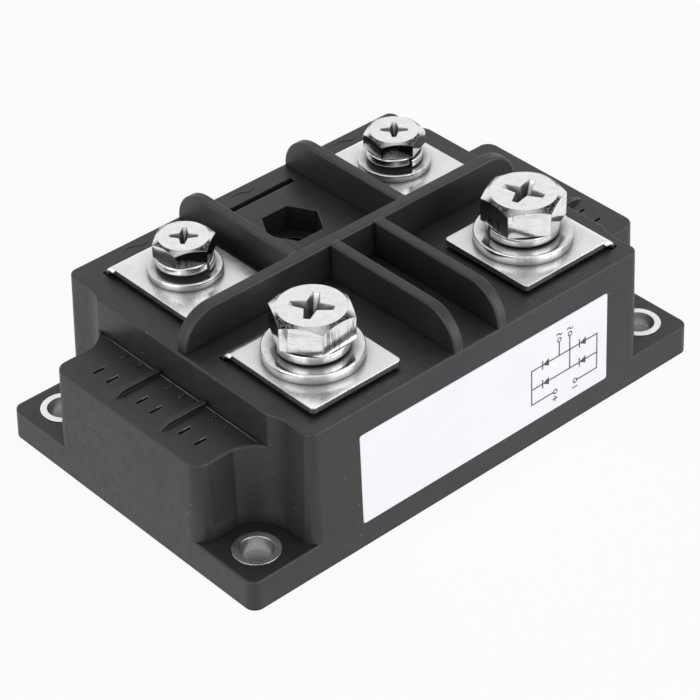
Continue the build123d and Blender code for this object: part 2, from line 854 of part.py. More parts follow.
# Compound that fills the hollow up to a little below the roof
inner_parts = [
    ceramic, pad_plus, pad_minus, pad_ac_1, pad_ac_2,
    diode_1, diode_2, diode_3, diode_4,
    contact_disc_1, contact_disc_2, contact_disc_3, contact_disc_4,
    strap_ac_1, strap_ac_2, strap_minus,
    terminal_plus, terminal_minus, terminal_ac_1, terminal_ac_2,
]
with BuildPart() as potting:
    with BuildSketch(Plane.XY.offset(plate_thickness)):
        RectangleRounded(hollow_length, hollow_width, hollow_corner)
    extrude(amount=compound_top - plate_thickness)
    with BuildSketch(Plane.XY.offset(plate_thickness)):
        Rectangle(shelf_hollow_length, shelf_hollow_width)
    extrude(amount=shelf_hollow_top - plate_thickness)
    for spot in (plus_spot, minus_spot):
        with BuildSketch(Plane.XY.offset(m8_boss_bottom)):
            with Locations(spot):
                Circle(m8_boss_radius)
        extrude(amount=compound_top - m8_boss_bottom, mode=Mode.SUBTRACT)
    for spot in (ac_1_spot, ac_2_spot, spare_spot):
        with BuildSketch(Plane.XY.offset(m6_boss_bottom)):
            with Locations(spot):
                Circle(m6_boss_radius)
        extrude(amount=compound_top - m6_boss_bottom, mode=Mode.SUBTRACT)
    for inner in inner_parts:
        add(inner.part, mode=Mode.SUBTRACT)


# Names and files
housing.part.label = "housing"
export_step(housing.part, "parts/housing.step")
housing_flange.part.label = "housing_flange"
export_step(housing_flange.part, "parts/housing_flange.step")
shelf_left.part.label = "shelf_left"
export_step(shelf_left.part, "parts/shelf_left.step")
shelf_right.part.label = "shelf_right"
export_step(shelf_right.part, "parts/shelf_right.step")
spine.part.label = "spine"
export_step(spine.part, "parts/spine.step")
wall_front_left.part.label = "wall_front_left"
export_step(wall_front_left.part, "parts/wall_front_left.step")
wall_front_right.part.label = "wall_front_right"
export_step(wall_front_right.part, "parts/wall_front_right.step")
wall_rear_left.part.label = "wall_rear_left"
export_step(wall_rear_left.part, "parts/wall_rear_left.step")
wall_rear_right.part.label = "wall_rear_right"
export_step(wall_rear_right.part, "parts/wall_rear_right.step")
base_plate.part.label = "base_plate"
export_step(base_plate.part, "parts/base_plate.step")
bushing_1.part.label = "bushing_1"
export_step(bushing_1.part, "parts/bushing_1.step")
bushing_2.part.label = "bushing_2"
export_step(bushing_2.part, "parts/bushing_2.step")
bushing_3.part.label = "bushing_3"
export_step(bushing_3.part, "parts/bushing_3.step")
bushing_4.part.label = "bushing_4"
export_step(bushing_4.part, "parts/bushing_4.step")
terminal_plus.part.label = "terminal_plus"
export_step(terminal_plus.part, "parts/terminal_plus.step")
terminal_minus.part.label = "terminal_minus"
export_step(terminal_minus.part, "parts/terminal_minus.step")
terminal_ac_1.part.label = "terminal_ac_1"
export_step(terminal_ac_1.part, "parts/terminal_ac_1.step")
terminal_ac_2.part.label = "terminal_ac_2"
export_step(terminal_ac_2.part, "parts/terminal_ac_2.step")
bolt_plus.part.label = "bolt_plus"
export_step(bolt_plus.part, "parts/bolt_plus.step")
bolt_minus.part.label = "bolt_minus"
export_step(bolt_minus.part, "parts/bolt_minus.step")
bolt_ac_1.part.label = "bolt_ac_1"
export_step(bolt_ac_1.part, "parts/bolt_ac_1.step")
bolt_ac_2.part.label = "bolt_ac_2"
export_step(bolt_ac_2.part, "parts/bolt_ac_2.step")
flat_washer_plus.part.label = "flat_washer_plus"
export_step(flat_washer_plus.part, "parts/flat_washer_plus.step")
flat_washer_minus.part.label = "flat_washer_minus"
export_step(flat_washer_minus.part, "parts/flat_washer_minus.step")
flat_washer_ac_1.part.label = "flat_washer_ac_1"
export_step(flat_washer_ac_1.part, "parts/flat_washer_ac_1.step")
flat_washer_ac_2.part.label = "flat_washer_ac_2"
export_step(flat_washer_ac_2.part, "parts/flat_washer_ac_2.step")
spring_washer_plus.part.label = "spring_washer_plus"
export_step(spring_washer_plus.part, "parts/spring_washer_plus.step")
spring_washer_minus.part.label = "spring_washer_minus"
export_step(spring_washer_minus.part, "parts/spring_washer_minus.step")
spring_washer_ac_1.part.label = "spring_washer_ac_1"
export_step(spring_washer_ac_1.part, "parts/spring_washer_ac_1.step")
spring_washer_ac_2.part.label = "spring_washer_ac_2"
export_step(spring_washer_ac_2.part, "parts/spring_washer_ac_2.step")
nut_plus.part.label = "nut_plus"
export_step(nut_plus.part, "parts/nut_plus.step")
nut_minus.part.label = "nut_minus"
export_step(nut_minus.part, "parts/nut_minus.step")
nut_ac_1.part.label = "nut_ac_1"
export_step(nut_ac_1.part, "parts/nut_ac_1.step")
nut_ac_2.part.label = "nut_ac_2"
export_step(nut_ac_2.part, "parts/nut_ac_2.step")
label.part.label = "label"
export_step(label.part, "parts/label.step")
ceramic.part.label = "ceramic"
export_step(ceramic.part, "parts/ceramic.step")
pad_plus.part.label = "pad_plus"
export_step(pad_plus.part, "parts/pad_plus.step")
pad_minus.part.label = "pad_minus"
export_step(pad_minus.part, "parts/pad_minus.step")
pad_ac_1.part.label = "pad_ac_1"
export_step(pad_ac_1.part, "parts/pad_ac_1.step")
pad_ac_2.part.label = "pad_ac_2"
export_step(pad_ac_2.part, "parts/pad_ac_2.step")
diode_1.part.label = "diode_1"
export_step(diode_1.part, "parts/diode_1.step")
diode_2.part.label = "diode_2"
export_step(diode_2.part, "parts/diode_2.step")
diode_3.part.label = "diode_3"
export_step(diode_3.part, "parts/diode_3.step")
diode_4.part.label = "diode_4"
export_step(diode_4.part, "parts/diode_4.step")
contact_disc_1.part.label = "contact_disc_1"
export_step(contact_disc_1.part, "parts/contact_disc_1.step")
contact_disc_2.part.label = "contact_disc_2"
export_step(contact_disc_2.part, "parts/contact_disc_2.step")
contact_disc_3.part.label = "contact_disc_3"
export_step(contact_disc_3.part, "parts/contact_disc_3.step")
contact_disc_4.part.label = "contact_disc_4"
export_step(contact_disc_4.part, "parts/contact_disc_4.step")
strap_ac_1.part.label = "strap_ac_1"
export_step(strap_ac_1.part, "parts/strap_ac_1.step")
strap_ac_2.part.label = "strap_ac_2"
export_step(strap_ac_2.part, "parts/strap_ac_2.step")
strap_minus.part.label = "strap_minus"
export_step(strap_minus.part, "parts/strap_minus.step")
potting.part.label = "potting"
export_step(potting.part, "parts/potting.step")
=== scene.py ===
"""Looks of the bridge rectifier module: finishes, relief marks, label print, light and camera.

Metres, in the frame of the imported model: X along the module, the label faces -Y, Z is up.
"""

from math import cos, pi, radians, sin, tan

import bmesh
import bpy
from mathutils import Matrix, Vector


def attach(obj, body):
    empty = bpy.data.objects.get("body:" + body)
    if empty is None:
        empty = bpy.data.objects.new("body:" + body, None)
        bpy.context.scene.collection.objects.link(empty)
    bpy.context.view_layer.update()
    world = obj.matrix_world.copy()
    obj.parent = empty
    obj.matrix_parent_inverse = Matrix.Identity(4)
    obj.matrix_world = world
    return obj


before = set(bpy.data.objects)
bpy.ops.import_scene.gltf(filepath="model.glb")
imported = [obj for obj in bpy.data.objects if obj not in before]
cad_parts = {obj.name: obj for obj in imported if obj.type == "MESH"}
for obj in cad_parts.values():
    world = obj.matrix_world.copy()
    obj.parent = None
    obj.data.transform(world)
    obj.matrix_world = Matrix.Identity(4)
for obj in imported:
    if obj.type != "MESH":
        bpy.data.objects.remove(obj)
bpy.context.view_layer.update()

MM = 0.001

# Moulding: draft of its side walls in degrees, then its half width and levels in millimetres
DRAFT = 1.88
HALF_WIDTH = 32.85
RIM_HEIGHT = 0.05
FLANGE_TOP = 5.9
SHELF_TOP = 21.85
PLATEAU_TOP = 28.5

# Label and its print, in millimetres
LABEL_THICKNESS = 0.12
PRINT_THICKNESS = 0.02
PRINT_LINE = 0.27

# Raised marks, in millimetres
MARK_HEIGHT = 0.14
MARK_SINK = 0.06
MARK_WIDTH = 0.38
NUMERAL_HEIGHT = 1.7

# Terminal strips, in millimetres: level and bend radius at the middle of their thickness, and the
# radius of the bulges at the edges of their bends
STRIP_MIDDLE = 29.75
BEND_RADIUS = 1.75
BULGE_RADIUS = 0.56

# Horizontal direction from the module towards the camera, which sets where the painted dark reflection falls
# on the bolts' chamfers
TOWARDS_CAMERA = (-0.661, -0.751, 0.0)


# Colours and nodes
def linear(hex_colour):
    """sRGB hex to linear RGBA."""
    parts = [int(hex_colour[i:i + 2], 16) / 255 for i in (1, 3, 5)]
    return tuple(c / 12.92 if c <= 0.04045 else ((c + 0.055) / 1.055) ** 2.4 for c in parts) + (1.0,)


def add(tree, kind, settings=None, links=None):
    """Add a node. Settings are its properties or socket values, links feed its sockets."""
    made = tree.nodes.new("ShaderNode" + kind)
    for name, value in (settings or {}).items():
        if isinstance(name, str) and hasattr(made, name):
            setattr(made, name, value)
        else:
            made.inputs[name].default_value = value
    for name, source in (links or {}).items():
        tree.links.new(source, made.inputs[name])
    return made


def per_metre(size_mm):
    """Texture scale of a pattern whose features are this many millimetres apart."""
    return 1000 / size_mm


def start_material(name):
    material = bpy.data.materials.new(name)
    material.use_nodes = True
    tree = material.node_tree
    tree.nodes.clear()
    return material, tree


def edge_rounding(tree, reach_mm):
    """Rounded normal of the sharp edges, and how near an edge a point lies, 0 to 1."""
    rounded = add(tree, "Bevel", {"samples": 4, "Radius": reach_mm * MM}).outputs["Normal"]
    flat = add(tree, "NewGeometry").outputs["Normal"]
    agree = add(tree, "VectorMath", {"operation": "DOT_PRODUCT"}, {0: rounded, 1: flat})
    near = add(
        tree, "MapRange",
        {"From Min": 0.995, "From Max": 0.86},
        {"Value": agree.outputs["Value"]},
    )
    return rounded, near.outputs["Result"]


def crevice(tree, reach_mm, open_share, shut_share):
    """How deep in a gap between pieces a point lies, 0 to 1."""
    shelter = add(tree, "AmbientOcclusion", {"samples": 6, "Distance": reach_mm * MM}).outputs["AO"]
    depth = add(
        tree, "MapRange",
        {"From Min": open_share, "From Max": shut_share},
        {"Value": shelter},
    )
    return depth.outputs["Result"]


# Moulded glass-filled polyester: near-black body, even satin sheen that lifts it to charcoal,
# a fine eroded grain, faint flow clouds, a few pale specks of dust, paler outer edges that are
# partly rubbed wear and partly a painted highlight, and painted shade in the inner corners. The
# grain is drawn coarser than it is, so that it shows.
def moulded_polyester():
    material, tree = start_material("moulded_polyester")
    place = add(tree, "TexCoord").outputs["Object"]
    height = add(tree, "SeparateXYZ", links={"Vector": place}).outputs["Z"]
    flat = add(tree, "NewGeometry").outputs["Normal"]
    rounded, near = edge_rounding(tree, reach_mm=0.35)
    crease = crevice(tree, reach_mm=0.9, open_share=0.92, shut_share=0.6)

    cloud = add(tree, "TexNoise", {"Scale": per_metre(14.0), "Detail": 3.0}, {"Vector": place})
    shade = add(tree, "MapRange", {"From Min": 0.3, "From Max": 0.7}, {"Value": cloud.outputs["Fac"]})
    body = add(
        tree, "Mix",
        {"data_type": "RGBA", 6: linear("#1c1c1c"), 7: linear("#272727")},
        {"Factor": shade.outputs["Result"]},
    )

    # Dust: a dot in some of the cells
    speck = add(tree, "TexVoronoi", {"Scale": per_metre(2.6)}, {"Vector": place})
    dot = add(
        tree, "MapRange",
        {"From Min": 0.09, "From Max": 0.03, "To Min": 0.0, "To Max": 0.55},
        {"Value": speck.outputs["Distance"]},
    )
    lot = add(tree, "SeparateColor", links={"Color": speck.outputs["Color"]}).outputs["Red"]
    pale = add(tree, "MapRange", {"From Min": 0.55, "From Max": 1.0}, {"Value": lot})
    dust = add(
        tree, "Math",
        {"operation": "MULTIPLY"},
        {0: dot.outputs["Result"], 1: pale.outputs["Result"]},
    )
    dusty = add(
        tree, "Mix",
        {"data_type": "RGBA", 7: linear("#8a8a8a")},
        {"Factor": dust.outputs[0], 6: body.outputs[2]},
    )
    # Painted shade: inner corners and creases darkened towards near-black
    crease_shaded = add(
        tree, "Mix",
        {"data_type": "RGBA", 7: linear("#0c0c0c")},
        {"Factor": crease, 6: dusty.outputs[2]},
    )

    # Pale edges: partly rubbed wear and partly a painted highlight along the edges that are not upright.
    # Flush joins between the pieces of the moulding stay plain: upright ones and the flange's top
    standing = add(tree, "SeparateXYZ", links={"Vector": rounded}).outputs["Z"]
    upright = add(tree, "Math", {"operation": "COMPARE", 1: 0.0, 2: 0.15}, {0: standing})
    low = add(tree, "Math", {"operation": "COMPARE", 1: FLANGE_TOP * MM, 2: 0.5 * MM}, {0: height})
    joined = add(tree, "Math", {"operation": "MAXIMUM"}, {0: upright.outputs[0], 1: low.outputs[0]})
    spared = add(tree, "Math", {"operation": "MAXIMUM"}, {0: joined.outputs[0], 1: crease})
    wear_and_highlight = add(
        tree, "Math",
        {"operation": "SUBTRACT", "use_clamp": True},
        {0: near, 1: spared.outputs[0]},
    )
    mottle = add(tree, "TexNoise", {"Scale": per_metre(1.6), "Detail": 2.0}, {"Vector": place})
    edge_breakup = add(
        tree, "MapRange",
        {"From Min": 0.35, "From Max": 0.65, "To Min": 0.3, "To Max": 0.85},
        {"Value": mottle.outputs["Fac"]},
    )
    rub_and_highlight = add(tree, "Math", {"operation": "MULTIPLY"}, {0: wear_and_highlight.outputs[0], 1: edge_breakup.outputs["Result"]})
    edged = add(
        tree, "Mix",
        {"data_type": "RGBA", 7: linear("#7c7c7c")},
        {"Factor": rub_and_highlight.outputs[0], 6: crease_shaded.outputs[2]},
    )

    rough = add(
        tree, "MapRange",
        {"From Min": 0.3, "From Max": 0.7, "To Min": 0.40, "To Max": 0.50},
        {"Value": mottle.outputs["Fac"]},
    )
    faired = add(
        tree, "Mix",
        {"data_type": "VECTOR"},
        {"Factor": joined.outputs[0], 4: rounded, 5: flat},
    )
    grain = add(
        tree, "TexNoise",
        {"Scale": per_metre(0.4), "Detail": 3.0, "Roughness": 0.6},
        {"Vector": place},
    )
    relief = add(
        tree, "Bump",
        {"Strength": 0.3, "Distance": 0.02 * MM},
        {"Height": grain.outputs["Fac"], "Normal": faired.outputs[1]},
    )
    shader = add(
        tree, "BsdfPrincipled",
        {"IOR": 1.5},
        {
            "Base Color": edged.outputs[2],
            "Roughness": rough.outputs["Result"],
            "Normal": relief.outputs["Normal"],
        },
    )
    add(tree, "OutputMaterial", links={"Surface": shader.outputs[0]})
    return material


# Bright nickel on cold-headed steel: a mirror with faint drawing marks and a few dull pin specks,
# a painted dark reflection in four patches of the head's chamfer, score marks on upright faces,
# edges darkened as a painted reflection, hollows duller and greyed with painted shade, and painted
# shade where pieces meet. The specks and score marks are drawn coarser than they are, so they show.
def bright_nickel(name, light, dark, scoring, roughness):
    material, tree = start_material(name)
    place = add(tree, "TexCoord").outputs["Object"]
    facing = add(tree, "NewGeometry").outputs["Normal"]
    level = add(tree, "SeparateXYZ", links={"Vector": facing}).outputs["Z"]
    rounded, near = edge_rounding(tree, reach_mm=0.22)
    hollow = crevice(tree, reach_mm=3.0, open_share=0.9, shut_share=0.5)
    gap = crevice(tree, reach_mm=0.9, open_share=0.62, shut_share=0.22)
    pits = add(tree, "TexNoise", {"Scale": per_metre(0.35), "Detail": 2.0}, {"Vector": place})
    marks = add(
        tree, "TexNoise",
        {"Scale": per_metre(1.6), "Detail": 5.0, "Roughness": 0.7},
        {"Vector": place},
    )

    patch = add(tree, "MapRange", {"From Min": 0.35, "From Max": 0.65}, {"Value": marks.outputs["Fac"]})
    tint = add(
        tree, "Mix",
        {"data_type": "RGBA", 6: linear(dark), 7: linear(light)},
        {"Factor": patch.outputs["Result"]},
    )
    # Painted shade: hollows such as the cross recess greyed towards #7c7c7c
    shaded = add(
        tree, "Mix",
        {"data_type": "RGBA", 7: linear("#7c7c7c")},
        {"Factor": hollow, 6: tint.outputs[2]},
    )

    # Painted dark reflection on the chamfer's cone, in four patches to both sides of the direction towards
    # the camera, broken up by specks
    cone = add(tree, "Math", {"operation": "COMPARE", 1: cos(radians(30)), 2: 0.03}, {0: level})
    across = add(tree, "VectorMath", {"operation": "DOT_PRODUCT", 1: TOWARDS_CAMERA}, {0: facing})
    off_axis = add(tree, "Math", {"operation": "ABSOLUTE"}, {0: across.outputs["Value"]})
    beside = add(tree, "Math", {"operation": "SUBTRACT", 1: 0.31}, {0: off_axis.outputs[0]})
    distance = add(tree, "Math", {"operation": "ABSOLUTE"}, {0: beside.outputs[0]})
    side = add(tree, "MapRange", {"From Min": 0.22, "From Max": 0.12}, {"Value": distance.outputs[0]})
    thin = add(
        tree, "MapRange",
        {"From Min": 0.42, "From Max": 0.62, "To Min": 1.0, "To Max": 0.78},
        {"Value": pits.outputs["Fac"]},
    )
    patches = add(tree, "Math", {"operation": "MULTIPLY"}, {0: cone.outputs[0], 1: side.outputs["Result"]})
    side_facet_shade = add(tree, "Math", {"operation": "MULTIPLY"}, {0: patches.outputs[0], 1: thin.outputs["Result"]})
    side_facet_shaded = add(
        tree, "Mix",
        {"data_type": "RGBA", 7: linear("#1c1c1c")},
        {"Factor": side_facet_shade.outputs[0], 6: shaded.outputs[2]},
    )

    # Level streaks and upright score marks on the upright faces
    lying = add(tree, "Mapping", {"Scale": (0.12, 0.12, 1.0)}, {"Vector": place})
    drawn = add(
        tree, "TexNoise",
        {"Scale": per_metre(0.8), "Detail": 3.0},
        {"Vector": lying.outputs["Vector"]},
    )
    streak = add(
        tree, "MapRange",
        {"From Min": 0.54, "From Max": 0.72, "To Min": 0.0, "To Max": 0.5},
        {"Value": drawn.outputs["Fac"]},
    )
    standing = add(tree, "Mapping", {"Scale": (1.0, 1.0, 0.1)}, {"Vector": place})
    scored = add(
        tree, "TexNoise",
        {"Scale": per_metre(0.45), "Detail": 2.0},
        {"Vector": standing.outputs["Vector"]},
    )
    score = add(
        tree, "MapRange",
        {"From Min": 0.48, "From Max": 0.6, "To Min": 0.0, "To Max": scoring},
        {"Value": scored.outputs["Fac"]},
    )
    area = add(tree, "TexNoise", {"Scale": per_metre(5.0), "Detail": 1.0}, {"Vector": place})
    here = add(tree, "MapRange", {"From Min": 0.5, "From Max": 0.6}, {"Value": area.outputs["Fac"]})
    scores = add(
        tree, "Math",
        {"operation": "MULTIPLY"},
        {0: score.outputs["Result"], 1: here.outputs["Result"]},
    )
    worked = add(tree, "Math", {"operation": "MAXIMUM"}, {0: scores.outputs[0], 1: streak.outputs["Result"]})
    upright = add(tree, "Math", {"operation": "COMPARE", 1: 0.0, 2: 0.1}, {0: level})
    streaks = add(tree, "Math", {"operation": "MULTIPLY"}, {0: upright.outputs[0], 1: worked.outputs[0]})
    streaked = add(
        tree, "Mix",
        {"data_type": "RGBA", 7: linear("#787878")},
        {"Factor": streaks.outputs[0], 6: side_facet_shaded.outputs[2]},
    )

    # Painted dark reflection: edges darkened towards #343434
    line = add(tree, "Math", {"operation": "MULTIPLY", 1: 0.75}, {0: near})
    edged = add(
        tree, "Mix",
        {"data_type": "RGBA", 7: linear("#343434")},
        {"Factor": line.outputs[0], 6: streaked.outputs[2]},
    )
    # Painted shade where pieces meet, darkened towards #2c2c2c
    gap_shaded = add(
        tree, "Mix",
        {"data_type": "RGBA", 7: linear("#2c2c2c")},
        {"Factor": gap, 6: edged.outputs[2]},
    )

    rough = add(
        tree, "MapRange",
        {"From Min": 0.35, "From Max": 0.7, "To Min": roughness * 0.7, "To Max": roughness * 1.5},
        {"Value": pits.outputs["Fac"]},
    )
    dull = add(tree, "Math", {"operation": "MULTIPLY", 1: 0.5}, {0: hollow})
    gloss = add(tree, "Math", {"operation": "MAXIMUM"}, {0: rough.outputs["Result"], 1: dull.outputs[0]})
    relief = add(
        tree, "Bump",
        {"Strength": 0.2, "Distance": 0.02 * MM},
        {"Height": marks.outputs["Fac"], "Normal": rounded},
    )
    shader = add(
        tree, "BsdfPrincipled",
        {"Metallic": 1.0},
        {
            "Base Color": gap_shaded.outputs[2],
            "Roughness": gloss.outputs[0],
            "Normal": relief.outputs["Normal"],
        },
    )
    add(tree, "OutputMaterial", links={"Surface": shader.outputs[0]})
    return material


# Nickel-plated copper strip, rolled and blanked: satin, with soft cloudy patches, a fine tooth,
# a painted highlight on the cut edges and on sloped faces such as the bends, and painted shade
# that deepens in bores, on their walls, towards whatever is clamped on it and where pieces meet.
# The tooth is drawn coarser than it is, so that it shows.
def satin_nickel(name, light, dark, shade, bore, roughness):
    material, tree = start_material(name)
    place = add(tree, "TexCoord").outputs["Object"]
    facing = add(tree, "NewGeometry").outputs["Normal"]
    level = add(tree, "SeparateXYZ", links={"Vector": facing}).outputs["Z"]
    rounded, near = edge_rounding(tree, reach_mm=0.25)
    shelter_shade = crevice(tree, reach_mm=4.5, open_share=0.92, shut_share=0.5)
    gap = crevice(tree, reach_mm=0.7, open_share=0.6, shut_share=0.25)
    tooth = add(tree, "TexNoise", {"Scale": per_metre(0.35), "Detail": 3.0}, {"Vector": place})
    cloud = add(
        tree, "TexNoise",
        {"Scale": per_metre(4.0), "Detail": 5.0, "Roughness": 0.65},
        {"Vector": place},
    )

    patch = add(tree, "MapRange", {"From Min": 0.3, "From Max": 0.7}, {"Value": cloud.outputs["Fac"]})
    tint = add(
        tree, "Mix",
        {"data_type": "RGBA", 6: linear(dark), 7: linear(light)},
        {"Factor": patch.outputs["Result"]},
    )
    # Painted shade: greyed towards the shade colour in bores and near whatever is clamped on it
    greyed = add(
        tree, "Mix",
        {"data_type": "RGBA", 7: linear(shade)},
        {"Factor": shelter_shade, 6: tint.outputs[2]},
    )
    # Painted highlight: edges lightened towards white
    bright = add(tree, "Math", {"operation": "MULTIPLY", 1: 0.5}, {0: near})
    edged = add(
        tree, "Mix",
        {"data_type": "RGBA", 7: linear("#fafafa")},
        {"Factor": bright.outputs[0], 6: greyed.outputs[2]},
    )
    # Painted shade where pieces meet, darkened towards #484848
    gap_shaded = add(
        tree, "Mix",
        {"data_type": "RGBA", 7: linear("#484848")},
        {"Factor": gap, 6: edged.outputs[2]},
    )

    # Painted shade on the upright walls of the bores, and a painted highlight on sloped faces such as the
    # bends
    steep = add(tree, "Math", {"operation": "COMPARE", 1: 0.0, 2: 0.2}, {0: level})
    sunk = add(tree, "Math", {"operation": "MULTIPLY"}, {0: steep.outputs[0], 1: shelter_shade})
    bore_shaded = add(
        tree, "Mix",
        {"data_type": "RGBA", 7: linear(bore)},
        {"Factor": sunk.outputs[0], 6: gap_shaded.outputs[2]},
    )
    tilted = add(tree, "Math", {"operation": "COMPARE", 1: 0.58, 2: 0.38}, {0: level})
    slope_highlight = add(tree, "Math", {"operation": "MULTIPLY", 1: 0.85}, {0: tilted.outputs[0]})
    slope_highlighted = add(
        tree, "Mix",
        {"data_type": "RGBA", 7: linear("#fafafa")},
        {"Factor": slope_highlight.outputs[0], 6: bore_shaded.outputs[2]},
    )

    rough = add(
        tree, "MapRange",
        {"From Min": 0.3, "From Max": 0.7, "To Min": roughness * 0.75, "To Max": roughness * 1.3},
        {"Value": cloud.outputs["Fac"]},
    )
    relief = add(
        tree, "Bump",
        {"Strength": 0.25, "Distance": 0.02 * MM},
        {"Height": tooth.outputs["Fac"], "Normal": rounded},
    )
    shader = add(
        tree, "BsdfPrincipled",
        {"Metallic": 1.0},
        {
            "Base Color": slope_highlighted.outputs[2],
            "Roughness": rough.outputs["Result"],
            "Normal": relief.outputs["Normal"],
        },
    )
    add(tree, "OutputMaterial", links={"Surface": shader.outputs[0]})
    return material


# Other finishes: a body colour that drifts a little from patch to patch, uneven gloss, and a fine
# tooth that is drawn coarser than it is, so that it shows
def drifting_finish(name, patches, ground, patch_mm, tooth_mm, roughness, metallic):
    material, tree = start_material(name)
    place = add(tree, "TexCoord").outputs["Object"]
    cloud = add(tree, "TexNoise", {"Scale": per_metre(patch_mm), "Detail": 3.0}, {"Vector": place})
    tooth = add(tree, "TexNoise", {"Scale": per_metre(tooth_mm), "Detail": 2.0}, {"Vector": place})
    tint = add(
        tree, "Mix",
        {"data_type": "RGBA", 6: linear(ground), 7: linear(patches)},
        {"Factor": cloud.outputs["Fac"]},
    )
    rough = add(
        tree, "MapRange",
        {"To Min": roughness * 0.8, "To Max": roughness * 1.2},
        {"Value": cloud.outputs["Fac"]},
    )
    relief = add(
        tree, "Bump",
        {"Strength": 0.15, "Distance": 0.01 * MM},
        {"Height": tooth.outputs["Fac"]},
    )
    shader = add(
        tree, "BsdfPrincipled",
        {"Metallic": metallic},
        {
            "Base Color": tint.outputs[2],
            "Roughness": rough.outputs["Result"],
            "Normal": relief.outputs["Normal"],
        },
    )
    add(tree, "OutputMaterial", links={"Surface": shader.outputs[0]})
    return material


# The bolts shine most, and tumbling in a barrel left the washers duller
polyester = moulded_polyester()
bolt_nickel = bright_nickel(
    "bright_nickel_bolt",
    light="#eeeeee", dark="#dedede", scoring=0.9, roughness=0.08,
)
washer_nickel = bright_nickel(
    "bright_nickel_washer",
    light="#e6e6e6", dark="#d2d2d2", scoring=0.3, roughness=0.12,
)
strip_nickel = satin_nickel(
    "satin_nickel_strip",
    light="#eaeaea", dark="#dadada", shade="#a8a8a8", bore="#8c8c8c", roughness=0.26,
)
eyelet_nickel = satin_nickel(
    "satin_nickel_eyelet",
    light="#f0f0f0", dark="#dcdcdc", shade="#5c5c5c", bore="#303030", roughness=0.3,
)
plate_nickel = satin_nickel(
    "satin_nickel_plate",
    light="#dcdbd8", dark="#c4c3c0", shade="#787776", bore="#484847", roughness=0.32,
)

# Pale grey polyester, paler in patches: a painted highlight on the thin beads along the shelf creases and
# the slot edges
pale_highlight_polyester = drifting_finish(
    "pale_highlight_polyester",
    patches="#9a9a9a", ground="#4a4a4a", patch_mm=0.9, tooth_mm=0.4, roughness=0.5, metallic=0.0,
)
# Coated paper: a cool white with a soft sheen
label_paper = drifting_finish(
    "coated_label_paper",
    patches="#fafaff", ground="#f4f4fb", patch_mm=9.0, tooth_mm=0.5, roughness=0.45, metallic=0.0,
)
# Ink printed thinly: dark grey, and paler where it took badly
print_ink = drifting_finish(
    "printed_ink",
    patches="#3e3e42", ground="#565659", patch_mm=1.2, tooth_mm=0.4, roughness=0.5, metallic=0.0,
)
# Rolled copper: warm, soft sheen
copper = drifting_finish(
    "rolled_copper",
    patches="#c98a66", ground="#b4744f", patch_mm=4.0, tooth_mm=0.5, roughness=0.3, metallic=1.0,
)
# Fired alumina: matt ivory tile
alumina = drifting_finish(
    "fired_alumina",
    patches="#efece4", ground="#e2dfd6", patch_mm=3.0, tooth_mm=0.5, roughness=0.5, metallic=0.0,
)
# Polished silicon: dark and glassy
silicon = drifting_finish(
    "polished_silicon",
    patches="#3a3a40", ground="#2c2c32", patch_mm=3.0, tooth_mm=0.6, roughness=0.15, metallic=0.0,
)
# Ground molybdenum: dull grey metal
molybdenum = drifting_finish(
    "ground_molybdenum",
    patches="#8f8f92", ground="#7d7d80", patch_mm=2.0, tooth_mm=0.4, roughness=0.35, metallic=1.0,
)
# Cast silicone: charcoal gel with a wet sheen
silicone = drifting_finish(
    "cast_silicone",
    patches="#3c3c3c", ground="#323232", patch_mm=6.0, tooth_mm=1.0, roughness=0.35, metallic=0.0,
)

# Finish of each family of the model's pieces, by how their names start
FINISHES = {
    "housing": polyester,
    "shelf": polyester,
    "spine": polyester,
    "wall": polyester,
    "base_plate": plate_nickel,
    "bushing": eyelet_nickel,
    "terminal": strip_nickel,
    "bolt": bolt_nickel,
    "flat_washer": washer_nickel,
    "spring_washer": washer_nickel,
    "nut": washer_nickel,
    "label": label_paper,
    "ceramic": alumina,
    "pad": copper,
    "strap": copper,
    "diode": silicon,
    "contact_disc": molybdenum,
    "potting": silicone,
}
for node_name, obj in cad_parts.items():
    family = max((f for f in FINISHES if node_name.startswith(f)), key=len)
    obj.data.materials.clear()
    obj.data.materials.append(FINISHES[family])


# Mesh pieces
def add_piece(name, mesh, material):
    """A new piece on the module."""
    mesh.materials.clear()
    mesh.materials.append(material)
    made = bpy.data.objects.new(name, mesh)
    bpy.context.scene.collection.objects.link(made)
    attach(made, "root")


def to_mesh(name, shape):
    mesh = bpy.data.meshes.new(name)
    bmesh.ops.recalc_face_normals(shape, faces=shape.faces)
    shape.to_mesh(mesh)
    shape.free()
    return mesh


def on_label(x, z, proud):
    """Point of the label's face, this far proud of it."""
    face = HALF_WIDTH - tan(radians(DRAFT)) * (z - RIM_HEIGHT) + LABEL_THICKNESS
    return Vector((x, -face - proud, z)) * MM


def print_area(shape, outline):
    """Add a printed filled area with a convex outline."""
    low = [shape.verts.new(on_label(x, z, -PRINT_THICKNESS)) for x, z in outline]
    high = [shape.verts.new(on_label(x, z, PRINT_THICKNESS)) for x, z in outline]
    shape.faces.new(low)
    shape.faces.new(high)
    for i in range(len(outline)):
        j = (i + 1) % len(outline)
        shape.faces.new((low[i], low[j], high[j], high[i]))


def print_stroke(shape, points, width):
    """Add a printed line through points of the label."""
    for start, end in zip(points, points[1:]):
        a, b = Vector(start), Vector(end)
        along = (b - a).normalized() * width / 2
        across = Vector((-along.y, along.x))
        print_area(shape, [a - along - across, b + along - across, b + along + across, a - along + across])


def circle(centre, radius, count):
    turns = [2 * pi * i / count for i in range(count + 1)]
    return [(centre[0] + radius * cos(t), centre[1] + radius * sin(t)) for t in turns]


def straight(a, b, count):
    return [(a[0] + (b[0] - a[0]) * i / count, a[1] + (b[1] - a[1]) * i / count) for i in range(count + 1)]


def wave(x, y, length, swing, count):
    """One level sine wave, x and y at its middle."""
    return [(x + length * (i / count - 0.5), y + swing * sin(2 * pi * i / count)) for i in range(count + 1)]


